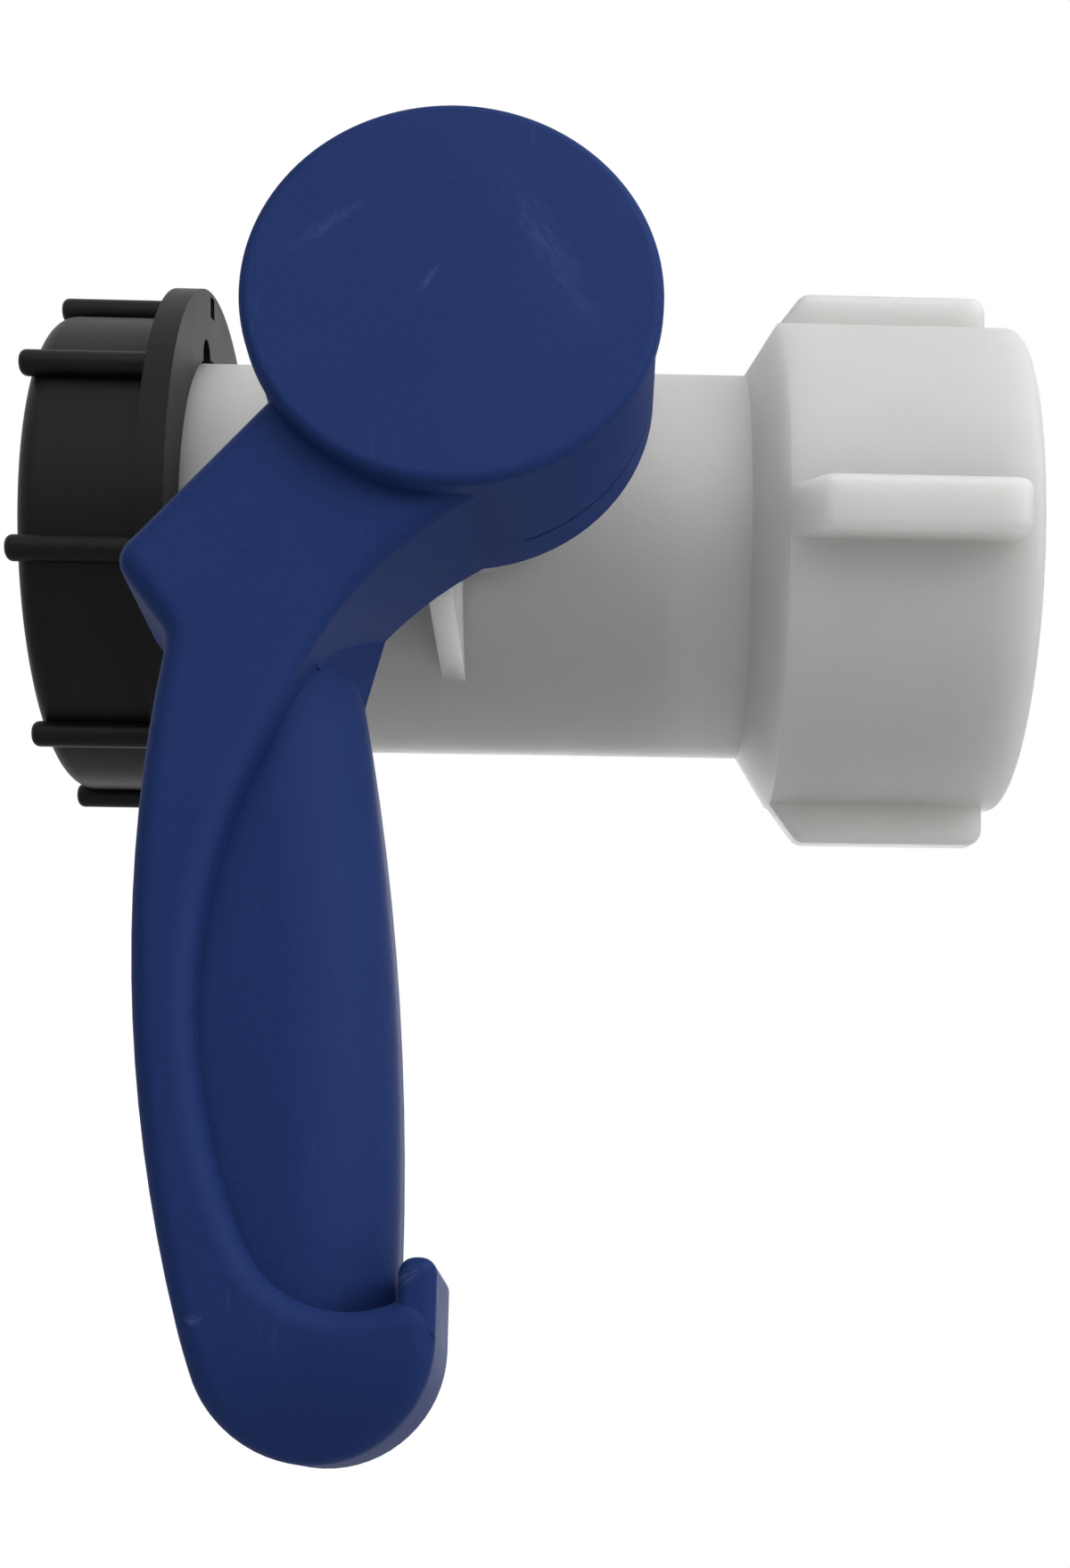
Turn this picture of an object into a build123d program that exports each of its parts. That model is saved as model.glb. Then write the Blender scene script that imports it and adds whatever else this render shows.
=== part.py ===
from build123d import *
from math import cos, radians, sin, sqrt
import os

# Quarter-turn ball valve for an intermediate bulk container, in millimetres, with +Z up.
# The origin is the centre of the inlet cup's mouth, and +X points out of that mouth.
# The stem stands along -Y and the lever hangs down: the valve is closed and its outlet is capped.

# Clearances
turn_gap = 0.3  # between pieces that move past each other
seat_gap = 0.05  # between pieces that sit still on each other
running_fit = 0.06  # radial, between the stem and its bore

# Inlet cup
inlet_reach = 83.0  # stem axis to the cup's mouth
cup_wall = 7.5
cup_length = 37.0
cup_cone_length = 5.0
cup_rim_round = 1.6
cup_bore_step = 0.5  # root of the inlet thread, outside the tube's radius
cup_thread_depth = 24.0
cup_rib_count = 4
cup_rib_turn = 12.0  # degrees, of the upper rib towards the lever
cup_rib_width = 8.0
cup_rib_height = 6.0
cup_rib_setback = 3.0  # from the mouth
cup_rib_slope = 4.5
cup_rib_round = 2.4
cup_rib_edge_round = 1.6
inlet_gasket_thickness = 3.0
inlet_gasket_width = 2.5
inlet_ledge = 1.5  # step from the thread's root in to the gasket

# Tube and outlet neck
tube_radius = 30.0
tube_wall = 4.0
neck_start = 43.5  # stem axis to the outlet thread
outlet_reach = 59.1  # stem axis to the neck's end
neck_step = 2.4  # from the tube in to the root of the outlet thread
neck_wall = 5.1

# Stem boss with its stop lug and gusset
boss_radius = 14.0
boss_rise = 27.0  # above the tube
stop_lug_radius = 19.0
stop_lug_height = 7.0
stop_lug_angle = 60.0
gusset_thickness = 3.4
gusset_offset = 3.0  # towards the outlet, from the stem's axis
gusset_lift = 4.0  # lower edge, above the tube's lowest line
gusset_setback = 12.0  # front edge, behind the boss top

# Ball and seats
ball_gap = 1.0  # between the ball and the chamber's wall
ball_wall = 8.6  # from the ball's bore to its surface
seat_width = 7.5
seat_lip_thickness = 2.2
seat_oring_radius = 1.4  # section
retainer_thickness = 7.5
retainer_wall = 7.0
retainer_slot_width = 5.0
retainer_slot_depth = 3.0
retainer_slot_count = 4

# Stem
stem_radius = 8.0
stem_shoulder_radius = 11.0
stem_shoulder_thickness = 3.7
stem_shoulder_rise = 4.0  # from the shoulder up to the thrust face
thrust_washer_thickness = 1.5
tang_width = 8.0
tang_length = 15.0
tang_depth = 5.5  # into the ball
tang_play = 0.15
stem_square = 11.0
stem_square_length = 8.5
stem_square_chamfer = 0.7
stem_oring_radius = 1.0  # section
stem_oring_depths = (11.0, 19.0)  # below the boss top
screw_radius = 2.5

# Lever
lever_turn = 90.0  # degrees from closed to open
hub_radius = 25.7
hub_wall = 3.0
hub_skirt = 4.0  # hub's back edge, behind the boss top
socket_height = 4.7  # from the boss top to the web
seam_height = 5.5  # fine groove round the hub, from its back edge
seam_width = 0.4
seam_depth = 0.4
seam_start = -70.0  # degrees, from the right
seam_sweep = 260.0
lever_depth = 22.8  # back to front
lever_wall = 3.5
web_thickness = 4.0
socket_radius = 12.5
stop_rib_angle = 10.0
stop_play = 1.2  # degrees left at each end of the turn
neck_angle = 50.0  # below the horizontal
neck_offset = 8.8  # neck's upper edge, from the stem's axis
lobe_reach = 52.8  # along the neck
lobe_round = 3.2
waist_drop = 44.5  # grip's narrow place below the lobe, from the stem's axis
waist_out = 33.4  # outer edge of the grip there
waist_round = 5.0
waist_in = 11.7  # inner edge of the grip at its top
waist_in_drop = 45.6
grip_hollow = 2.5
grip_tuck = 10.4  # inner edge's lower end, below the hook's top
grip_end_in = 4.6
armpit_in = 8.5  # neck wall's upper end inside the neck, from the stem's axis
armpit_drop = 32.5
throat_in = 5.0  # band's inner edge where it runs into the hub
throat_sunk = 1.2  # that point's depth inside the hub
throat_run = 11.0  # straight part of the band's inner edge, between sickle and throat
wall_drop = 46.2  # end wall above the grip's face, at its inner end
wall_fall = 2.2  # of that wall, towards the sickle
wall_slant = 6.2  # how far the wall leans in towards the band
lever_length = 142.6
bulb_radius = 14.0
bulb_offset = 12.7
bulb_meet_angle = 18.5  # where the grip's side runs into the bulb, below the horizontal
dome_rise = 2.0  # where the bulb's front starts to fall back, above its centre
dome_fall = 7.0  # how far it has fallen back at the tip
hook_rise = 9.0  # above the bulb's centre
hook_width = 4.4
hook_tip_round = 1.9
hook_round = 1.6
hook_setback = 0.6  # behind the band's front
cradle_in = 2.6  # cradle's lowest point, from the bulb's centre
cradle_rise = 2.9  # above the bulb's centre
cradle_end_rise = 7.4
cradle_round = 3.2
band_width = 5.8  # beside the cradle
band_rise = 10.5  # of that place, above the bulb's centre
band_top_width = 11.8  # below the waist
band_top_drop = 13.9
recess_drop = 5.5  # grip face behind the front band
grip_round = 12.0
band_round = 2.8
lever_rib_width = 2.4
lever_rib_count = 3

# Hub cover, washer and screw
cover_radius = 26.4
cover_thickness = 3.0
cover_round = 1.3
cover_plug_wall = 1.8
cover_plug_depth = 4.0
washer_radius = 8.5
washer_thickness = 1.6
screw_head_radius = 5.0
screw_head_height = 3.2
screw_length = 15.0
screw_key_radius = 2.0
screw_key_depth = 1.9

# Outlet cap
cap_length = 22.1
cap_wall = 5.9
cap_bore_step = 3.0  # root of its thread, outside the neck's
cap_end_wall = 3.0
cap_corner_round = 3.0
cap_flange_width = 4.5
cap_flange_thickness = 4.0
cap_rib_count = 8
cap_rib_radius = 1.9  # section of the round ribs
cap_rib_stand = 1.1  # their centres, outside the wall
cap_rib_end_round = 1.1
cap_rib_overhang = 0.7  # past the closed end
cap_rib_start = 23.4  # degrees round the axis, from +Y towards +Z
cap_hole_size = 3.2
cap_hole_angle = 111.0
cap_notch_radius = 3.0
cap_notch_angle = 121.0
cap_gasket_thickness = 2.2
cap_gasket_width = 12.0

# Places worked out from the sizes above
stem_x = -inlet_reach
chamber_radius = tube_radius - tube_wall
cup_bore_radius = tube_radius + cup_bore_step
cup_radius = cup_bore_radius + cup_wall
inlet_gasket_radius = cup_bore_radius - inlet_ledge
neck_radius = tube_radius - neck_step
outlet_bore_radius = neck_radius - neck_wall
boss_top = tube_radius + boss_rise
cone_start = -cup_length - cup_cone_length
neck_end = stem_x - outlet_reach
ball_radius = chamber_radius - ball_gap
ball_bore_radius = ball_radius - ball_wall
seat_sphere = ball_radius + turn_gap
seat_lip = Vector(sqrt(seat_sphere**2 - ball_bore_radius**2), ball_bore_radius)
seat_back = seat_lip.X + seat_lip_thickness
seat_face = seat_back - seat_width
seat_outer_radius = chamber_radius - seat_gap
shoulder_dip = sqrt(chamber_radius**2 - stem_shoulder_radius**2)
thrust_face = shoulder_dip + stem_shoulder_thickness + stem_shoulder_rise
shoulder_top = thrust_face - thrust_washer_thickness - turn_gap
shoulder_bottom = shoulder_top - stem_shoulder_thickness
stem_groove_depth = 2 * stem_oring_radius - running_fit / 2
lever_back = boss_top - hub_skirt
lever_front = lever_back + lever_depth
socket_bottom = boss_top + turn_gap
web_back = socket_bottom + socket_height
web_front = web_back + web_thickness
stem_top = socket_bottom + stem_square_length
cover_pocket_radius = hub_radius - hub_wall
cap_bore_radius = neck_radius + cap_bore_step
cap_radius = cap_bore_radius + cap_wall
cap_flange_radius = cap_radius + cap_flange_width
cap_end = neck_end - turn_gap - cap_gasket_thickness - seat_gap - cap_end_wall
cap_mouth = cap_end + cap_length
stem_axis = Axis((stem_x, 0, 0), (0, 1, 0))
os.makedirs("parts", exist_ok=True)


def stem_level(distance):
    """Plane square to the stem, so far from the tube's axis, with X right and Z up."""
    return Plane(origin=(stem_x, -distance, 0), x_dir=(1, 0, 0), z_dir=(0, -1, 0))


def flow_level(x):
    """Plane square to the tube's axis, with Y right and Z up."""
    return Plane.YZ.offset(x)


def sector(inner, outer, start, sweep):
    """Ring sector about the origin, with angles in degrees."""
    with BuildSketch() as shape:
        with BuildLine():
            first = CenterArc((0, 0), inner, start, sweep)
            second = CenterArc((0, 0), outer, start, sweep)
            Line(first @ 0, second @ 0)
            Line(first @ 1, second @ 1)
        make_face()
    return shape.sketch


def corner(sketch, point):
    """The sketch's vertex nearest to a point given in its own plane."""
    return sketch.vertices().sort_by_distance(Vector(*point))[0]


# Lever outline points, from the stem's axis, with X right and Z up
neck_way = Vector(-cos(radians(neck_angle)), -sin(radians(neck_angle)))
neck_out = Vector(-sin(radians(neck_angle)), cos(radians(neck_angle)))
neck_root = neck_out * neck_offset + neck_way * (hub_radius / 2)
lobe = neck_out * neck_offset + neck_way * lobe_reach
waist = Vector(-waist_out, -waist_drop)
waist_inner = Vector(-waist_in, -waist_in_drop)
armpit = Vector(-armpit_in, -armpit_drop)
hub_centre = Vector(0, 0)
hub_low = Vector(throat_in, throat_sunk - hub_radius)
bulb_centre = Vector(-bulb_offset, bulb_radius - lever_length)
bulb_right = bulb_centre + Vector(bulb_radius, 0)
bulb_tip = bulb_centre + Vector(0, -bulb_radius)
bulb_way = Vector(-sin(radians(bulb_meet_angle)), cos(radians(bulb_meet_angle)))
bulb_meet = bulb_centre + Vector(-bulb_way.Y, bulb_way.X) * bulb_radius
hook_outer = bulb_right + Vector(0, hook_rise)
cradle_end = bulb_right + Vector(0, cradle_end_rise)
cradle_low = bulb_centre + Vector(cradle_in, cradle_rise)
band_low = bulb_centre + Vector(band_width - bulb_radius, band_rise)
band_high = waist + Vector(band_top_width, -band_top_drop)
grip_low = Vector(-grip_end_in, hook_outer.Y - grip_tuck)
inner_mid = (waist_inner + grip_low) * 0.5 + Vector(grip_hollow, 0)
wall_inner = Vector(-waist_in, -wall_drop)
wall_outer = Vector(band_high.X, -wall_drop - wall_fall)
inward = Vector(lever_wall, 0)


# Rib on the inlet cup, drawn at the top
rib_foot = cup_radius - cup_rib_height / 2
rib_top = cup_radius + cup_rib_height
with BuildPart() as cup_rib:
    with BuildSketch(Plane.XZ) as rib_profile:
        Polygon(
            (-cup_length, rib_foot),
            (-cup_length, cup_radius),
            (-cup_length + cup_rib_slope, rib_top),
            (-cup_rib_setback, rib_top),
            (-cup_rib_setback, rib_foot),
            align=None,
        )
        fillet(corner(rib_profile, (-cup_length + cup_rib_slope, rib_top)), cup_rib_round)
        fillet(corner(rib_profile, (-cup_rib_setback, rib_top)), cup_rib_round)
    extrude(amount=cup_rib_width / 2, both=True)
    flanks = cup_rib.edges().filter_by(Axis.Y, reverse=True)
    fillet(flanks.filter_by_position(Axis.Z, cup_radius, rib_top), cup_rib_edge_round)

# Valve body: outer form first, then everything that is bored out of it
with BuildPart() as valve_body:
    with BuildSketch(Plane.XZ):
        Polygon(
            (neck_end, 0),
            (neck_end, neck_radius),
            (stem_x - neck_start, neck_radius),
            (stem_x - neck_start, tube_radius),
            (cone_start, tube_radius),
            (-cup_length, cup_radius),
            (0, cup_radius),
            (0, 0),
            align=None,
        )
    revolve(axis=Axis.X)
    fillet(valve_body.edges().group_by(Axis.X)[-1], cup_rim_round)
    for index in range(cup_rib_count):
        add(cup_rib.part, rotation=(cup_rib_turn + index * 360 / cup_rib_count, 0, 0))
    with BuildSketch(stem_level(0)):
        Circle(boss_radius)
    extrude(amount=boss_top)
    with BuildSketch(stem_level(boss_top - stop_lug_height)):
        add(sector(boss_radius / 2, stop_lug_radius, 90 - stop_lug_angle / 2, stop_lug_angle))
    extrude(amount=stop_lug_height)
    with BuildSketch(flow_level(stem_x - gusset_offset)):
        Polygon(
            (gusset_setback - boss_top, 0),
            (gusset_setback - boss_top, gusset_lift - tube_radius),
            (0, gusset_lift - tube_radius),
            (0, 0),
            align=None,
        )
    extrude(amount=gusset_thickness / 2, both=True)
    with BuildSketch(Plane.XZ):
        Polygon(
            (neck_end, 0),
            (neck_end, outlet_bore_radius),
            (stem_x - seat_back - seat_gap, outlet_bore_radius),
            (stem_x - seat_back - seat_gap, chamber_radius),
            (-cup_thread_depth - inlet_gasket_thickness, chamber_radius),
            (-cup_thread_depth - inlet_gasket_thickness, inlet_gasket_radius + seat_gap),
            (-cup_thread_depth, inlet_gasket_radius + seat_gap),
            (-cup_thread_depth, cup_bore_radius),
            (0, cup_bore_radius),
            (0, 0),
            align=None,
        )
    revolve(axis=Axis.X, mode=Mode.SUBTRACT)
    with BuildSketch(stem_level(0)):
        Circle(stem_radius + running_fit)
    extrude(amount=boss_top, mode=Mode.SUBTRACT)
    with BuildSketch(stem_level(0)):
        Circle(stem_shoulder_radius + turn_gap)
    extrude(amount=thrust_face, mode=Mode.SUBTRACT)

# Ball, closed at rest: its bore stands upright, and its slot lies along the flow
with BuildPart() as ball:
    with Locations((stem_x, 0, 0)):
        Sphere(ball_radius)
        Cylinder(ball_bore_radius, 2 * ball_radius, mode=Mode.SUBTRACT)
    with BuildSketch(stem_level(shoulder_bottom)):
        Rectangle(2 * ball_radius, tang_width + 2 * tang_play)
    extrude(amount=-(shoulder_bottom - ball_radius + tang_depth), mode=Mode.SUBTRACT)

# Stem: tang, shoulder, journal with two grooves, square drive
with BuildPart() as stem:
    with BuildSketch(stem_level(ball_radius - tang_depth + tang_play)):
        Rectangle(tang_length, tang_width)
    extrude(amount=shoulder_top - ball_radius + tang_depth - tang_play)
    with BuildSketch(stem_level(shoulder_bottom)):
        Circle(stem_shoulder_radius)
    extrude(amount=stem_shoulder_thickness)
    with BuildSketch(stem_level(shoulder_top)):
        Circle(stem_radius)
    extrude(amount=socket_bottom - shoulder_top)
    with BuildSketch(stem_level(socket_bottom)):
        Rectangle(stem_square, stem_square)
    extrude(amount=stem_square_length)
    chamfer(stem.edges().group_by(Axis.Y)[0], stem_square_chamfer)
    for depth in stem_oring_depths:
        with BuildSketch(stem_level(boss_top - depth)):
            Circle(2 * stem_radius)
            Circle(stem_radius - stem_groove_depth, mode=Mode.SUBTRACT)
        extrude(amount=stem_oring_radius + seat_gap, both=True, mode=Mode.SUBTRACT)
    with BuildSketch(stem_level(stem_top)):
        Circle(screw_radius + seat_gap)
    extrude(amount=-screw_length, mode=Mode.SUBTRACT)

# Thrust washer, flat against the counterbore's face inside the body
with BuildPart() as thrust_washer:
    with BuildSketch(stem_level(thrust_face - thrust_washer_thickness)):
        Circle(stem_shoulder_radius)
        Circle(stem_radius + turn_gap, mode=Mode.SUBTRACT)
    extrude(amount=thrust_washer_thickness)

# Seat rings: a spherical face against the ball and a groove round the outside
seat_rim = Vector(seat_face, sqrt(seat_sphere**2 - seat_face**2))
seat_middle = (seat_lip + seat_rim).normalized() * seat_sphere
groove_near = (seat_face + seat_back) / 2 - seat_oring_radius - seat_gap
groove_far = (seat_face + seat_back) / 2 + seat_oring_radius + seat_gap
groove_floor = seat_outer_radius - 2 * seat_oring_radius - seat_gap
seat_rings = {}
seat_orings = {}
for side, name in ((1, "inlet"), (-1, "outlet")):
    seat_plane = Plane(origin=(stem_x, 0, 0), x_dir=(side, 0, 0), z_dir=(0, -side, 0))
    with BuildPart() as seat:
        with BuildSketch(seat_plane):
            with BuildLine():
                ThreePointArc(seat_lip, seat_middle, seat_rim)
                Polyline(
                    seat_rim,
                    (seat_face, seat_outer_radius),
                    (groove_near, seat_outer_radius),
                    (groove_near, groove_floor),
                    (groove_far, groove_floor),
                    (groove_far, seat_outer_radius),
                    (seat_back, seat_outer_radius),
                    (seat_back, ball_bore_radius),
                    seat_lip,
                )
            make_face()
        revolve(axis=Axis.X)
    with BuildPart() as seat_oring:
        with BuildSketch(seat_plane):
            with Locations(((seat_face + seat_back) / 2, seat_outer_radius - seat_oring_radius)):
                Circle(seat_oring_radius)
        revolve(axis=Axis.X)
    seat_rings[name] = seat
    seat_orings[name] = seat_oring

# Retainer: a ring behind the inlet seat, with slots for a pin spanner
retainer_face = stem_x + seat_back + seat_gap
with BuildPart() as seat_retainer:
    with BuildSketch(flow_level(retainer_face)):
        Circle(seat_outer_radius)
        Circle(seat_outer_radius - retainer_wall, mode=Mode.SUBTRACT)
    extrude(amount=retainer_thickness)
    with BuildSketch(flow_level(retainer_face + retainer_thickness)):
        with PolarLocations(seat_outer_radius - retainer_wall, retainer_slot_count):
            Rectangle(retainer_wall, retainer_slot_width)
    extrude(amount=-retainer_slot_depth, mode=Mode.SUBTRACT)

# O-rings on the stem's journal
stem_orings = {}
for depth, name in zip(stem_oring_depths, ("upper", "lower")):
    with BuildPart() as stem_oring:
        with BuildSketch(Plane(origin=(stem_x, 0, 0))):
            with Locations((stem_radius + running_fit / 2 - stem_oring_radius, depth - boss_top)):
                Circle(stem_oring_radius - running_fit / 4)
        revolve(axis=stem_axis)
    stem_orings[name] = stem_oring

# Grip: the lower face beside the front band, rounded over to its inner side
with BuildPart() as lever_grip:
    with BuildSketch(stem_level(lever_back)):
        with BuildLine():
            ThreePointArc(grip_low, inner_mid, waist_inner)
            Line(waist_inner, waist + inward)
            TangentArc(bulb_meet + inward, waist + inward, tangent=bulb_way)
            Line(bulb_meet + inward, grip_low)
        make_face()
    extrude(amount=lever_depth - recess_drop)
    front_edges = lever_grip.edges().group_by(Axis.Y)[0]
    fillet(front_edges.sort_by(Axis.X)[-1], grip_round)

# Neck wall: the end wall above the grip's face, leaning from the band back to the grip's inner side
with BuildPart() as neck_wall:
    with BuildSketch(stem_level(lever_back)):
        Polygon(
            armpit,
            waist_inner,
            wall_inner,
            wall_outer,
            (wall_outer.X, armpit.Y),
            align=None,
        )
    extrude(amount=lever_depth - band_round, dir=(-wall_slant, -lever_depth, 0))

# Front band: neck, lobe and sickle in one outline, ending in a bulb with a domed front
with BuildPart() as lever_band:
    with BuildSketch(stem_level(lever_back)) as band_sketch:
        with BuildLine():
            Polyline(hub_centre, neck_root, lobe, waist)
            TangentArc(bulb_meet, waist, tangent=bulb_way)
            ThreePointArc(bulb_meet, bulb_tip, bulb_right)
            Line(bulb_right, cradle_end)
            cradle = ThreePointArc(cradle_end, cradle_low, band_low)
            sickle = TangentArc(cradle @ 1, band_high, tangent=cradle % 1)
            throat = Line(sickle @ 1, (sickle @ 1) + (sickle % 1) * throat_run)
            TangentArc(throat @ 1, hub_low, tangent=throat % 1)
            Line(hub_low, hub_centre)
        make_face()
        fillet(corner(band_sketch, lobe), lobe_round)
        fillet(corner(band_sketch, waist), waist_round)
        fillet(corner(band_sketch, cradle_end), cradle_round)
    extrude(amount=lever_depth)
    with BuildSketch(flow_level(stem_x)):
        with BuildLine():
            dome_start = Vector(-lever_front, bulb_centre.Y + dome_rise)
            dome_end = Vector(dome_fall - lever_front, -lever_length)
            dome_clear = -lever_front - dome_fall
            TangentArc(dome_start, dome_end, tangent=(0, -1))
            Polyline(dome_end, (dome_clear, dome_end.Y), (dome_clear, dome_start.Y), dome_start)
        make_face()
    extrude(amount=waist_out * 2, both=True, mode=Mode.SUBTRACT)
    front = lever_band.faces().sort_by(Axis.Y)[0].edges()
    dome = lever_band.faces().filter_by(GeomType.CYLINDER).sort_by(Axis.Y)[0].edges()
    fillet((front - dome) + (dome - front), band_round)

# Hook: a prong on the bulb's inner side, set back behind the band
with BuildPart() as lever_hook:
    with BuildSketch(stem_level(lever_back)) as hook_sketch:
        with Locations(hook_outer - Vector(hook_width / 2, hook_rise / 2)):
            Rectangle(hook_width, hook_rise)
        fillet(hook_sketch.vertices().group_by(Axis.Y)[-1], hook_tip_round)
    extrude(amount=lever_depth - hook_setback)
    fillet(lever_hook.edges().group_by(Axis.Y)[0], hook_round)

# Cores: hollows in the back of neck, grip and bulb, with cross ribs left standing in the grip
core_depth = lever_depth - recess_drop - lever_wall
neck_edge = neck_out * (neck_offset - lever_wall)
with BuildPart() as lever_core:
    with BuildSketch(stem_level(lever_back)):
        with BuildLine():
            Polyline(
                neck_edge + neck_way * (hub_radius + lever_wall),
                neck_edge + neck_way * (lobe_reach - 2 * lever_wall),
                waist + inward + Vector(0, lever_rib_width),
                waist_inner - inward * 2 + Vector(0, lever_rib_width),
                armpit + neck_out * lever_wall,
                close=True,
            )
        make_face()
        with BuildLine():
            left = TangentArc(bulb_meet + inward, waist + inward, tangent=bulb_way)
            right = ThreePointArc(waist_inner - inward, inner_mid - inward, grip_low - inward)
            Line(left @ 1, right @ 0)
            Line(left @ 0, right @ 1)
        make_face()
        for index in range(lever_rib_count):
            height = waist_drop + (lever_length - waist_drop) * (index + 1) / (lever_rib_count + 1)
            with Locations((-waist_out / 2, -height)):
                Rectangle(2 * waist_out, lever_rib_width, mode=Mode.SUBTRACT)
    extrude(amount=core_depth)
    core_arcs = lever_core.edges().group_by(Axis.Y)[0].filter_by(GeomType.CIRCLE)
    fillet(core_arcs.sort_by(Axis.X)[-lever_rib_count - 1 :], grip_round - lever_wall)

# Lever: band, grip and hub in one moulding, cored out from the back between cross ribs
first_stop = 90 - stop_lug_angle / 2 - stop_play - stop_rib_angle
second_stop = 90 + stop_lug_angle / 2 + stop_play + lever_turn
with BuildPart() as lever:
    add(lever_band.part)
    add(lever_grip.part)
    add(lever_hook.part)
    add(neck_wall.part)
    add(lever_core.part, mode=Mode.SUBTRACT)
    with BuildSketch(stem_level(lever_back)):
        Circle(hub_radius)
    extrude(amount=lever_depth)
    with BuildSketch(stem_level(lever_back)):
        Circle(cover_pocket_radius)
    extrude(amount=web_back - lever_back, mode=Mode.SUBTRACT)
    with BuildSketch(stem_level(lever_front)):
        Circle(cover_pocket_radius)
    extrude(amount=web_front - lever_front, mode=Mode.SUBTRACT)
    with BuildSketch(stem_level(socket_bottom)):
        Circle(socket_radius)
    extrude(amount=web_front - socket_bottom)
    for start in (first_stop, second_stop):
        with BuildSketch(stem_level(lever_back)):
            add(sector(boss_radius + turn_gap, cover_pocket_radius + hub_wall / 2, start, stop_rib_angle))
        extrude(amount=web_front - lever_back)
    with BuildSketch(stem_level(lever_back + seam_height)):
        add(sector(hub_radius - seam_depth, hub_radius + seam_depth, seam_start, seam_sweep))
    extrude(amount=seam_width, mode=Mode.SUBTRACT)
    with BuildSketch(stem_level(socket_bottom)):
        Rectangle(stem_square + 2 * seat_gap, stem_square + 2 * seat_gap)
    extrude(amount=web_front - socket_bottom, mode=Mode.SUBTRACT)

# Hub cover: a disc a little wider than the hub, with a plug ring that grips the pocket
with BuildPart() as hub_cover:
    with BuildSketch(stem_level(lever_front + seat_gap)):
        Circle(cover_radius)
    extrude(amount=cover_thickness)
    fillet(hub_cover.edges().group_by(Axis.Y)[0], cover_round)
    with BuildSketch(stem_level(lever_front + seat_gap)):
        Circle(cover_pocket_radius - seat_gap)
        Circle(cover_pocket_radius - seat_gap - cover_plug_wall, mode=Mode.SUBTRACT)
    extrude(amount=-cover_plug_depth)

# Washer and screw that hold the lever on the stem
with BuildPart() as lever_washer:
    with BuildSketch(stem_level(web_front + seat_gap)):
        Circle(washer_radius)
        Circle(screw_radius + turn_gap, mode=Mode.SUBTRACT)
    extrude(amount=washer_thickness)
screw_seat = web_front + 2 * seat_gap + washer_thickness
with BuildPart() as lever_screw:
    with BuildSketch(stem_level(screw_seat)):
        Circle(screw_head_radius)
    extrude(amount=screw_head_height)
    fillet(lever_screw.edges().group_by(Axis.Y)[0], screw_head_height / 3)
    with BuildSketch(stem_level(screw_seat)):
        Circle(screw_radius)
    extrude(amount=-screw_length)
    with BuildSketch(stem_level(screw_seat + screw_head_height)):
        RegularPolygon(screw_key_radius, 6)
    extrude(amount=-screw_key_depth, mode=Mode.SUBTRACT)

# Outlet cap: wall, flange and closed end, round ribs, a seal hole and a half-round notch
with BuildPart() as outlet_cap:
    with BuildSketch(flow_level(cap_end)):
        Circle(cap_radius)
    extrude(amount=cap_length)
    fillet(outlet_cap.edges().group_by(Axis.X)[0], cap_corner_round)
    with BuildSketch(flow_level(cap_mouth)):
        Circle(cap_flange_radius)
    extrude(amount=-cap_flange_thickness)
    with BuildSketch(flow_level(cap_mouth - cap_flange_thickness / 2)):
        with PolarLocations(cap_radius + cap_rib_stand, cap_rib_count, cap_rib_start):
            Circle(cap_rib_radius)
    extrude(amount=cap_end - cap_rib_overhang - cap_mouth + cap_flange_thickness / 2)
    fillet(outlet_cap.edges().group_by(Axis.X)[0], cap_rib_end_round)
    with BuildSketch(flow_level(cap_mouth)):
        Circle(cap_bore_radius)
    extrude(amount=cap_end_wall - cap_length, mode=Mode.SUBTRACT)
    with BuildSketch(flow_level(cap_mouth)):
        hole_ring = (cap_radius + cap_flange_radius) / 2
        with PolarLocations(hole_ring, 1, cap_hole_angle):
            Rectangle(cap_hole_size, cap_hole_size)
        with PolarLocations(cap_bore_radius, 1, cap_notch_angle):
            Circle(cap_notch_radius)
    extrude(amount=-cap_flange_thickness, mode=Mode.SUBTRACT)

# Gaskets in the cap and at the bottom of the inlet cup
with BuildPart() as cap_gasket:
    with BuildSketch(flow_level(cap_end + cap_end_wall + seat_gap)):
        Circle(cap_bore_radius - turn_gap)
        Circle(cap_bore_radius - turn_gap - cap_gasket_width, mode=Mode.SUBTRACT)
    extrude(amount=cap_gasket_thickness)
with BuildPart() as inlet_gasket:
    with BuildSketch(flow_level(-cup_thread_depth)):
        Circle(inlet_gasket_radius)
        Circle(inlet_gasket_radius - inlet_gasket_width, mode=Mode.SUBTRACT)
    extrude(amount=-inlet_gasket_thickness)

pieces = {
    "valve_body": valve_body,
    "ball": ball,
    "stem": stem,
    "thrust_washer": thrust_washer,
    "seat_ring_inlet": seat_rings["inlet"],
    "seat_ring_outlet": seat_rings["outlet"],
    "seat_oring_inlet": seat_orings["inlet"],
    "seat_oring_outlet": seat_orings["outlet"],
    "seat_retainer": seat_retainer,
    "stem_oring_lower": stem_orings["lower"],
    "stem_oring_upper": stem_orings["upper"],
    "lever": lever,
    "hub_cover": hub_cover,
    "lever_washer": lever_washer,
    "lever_screw": lever_screw,
    "outlet_cap": outlet_cap,
    "cap_gasket": cap_gasket,
    "inlet_gasket": inlet_gasket,
}
for name, piece in pieces.items():
    piece.part.label = name
    export_step(piece.part, f"parts/{name}.step")
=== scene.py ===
"""Looks of a container ball valve: natural plastic body, blue lever and black screw cap."""

import logging
import math
from dataclasses import dataclass
from enum import Enum

import bpy
import numpy as np
from mathutils import Matrix, Vector


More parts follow.
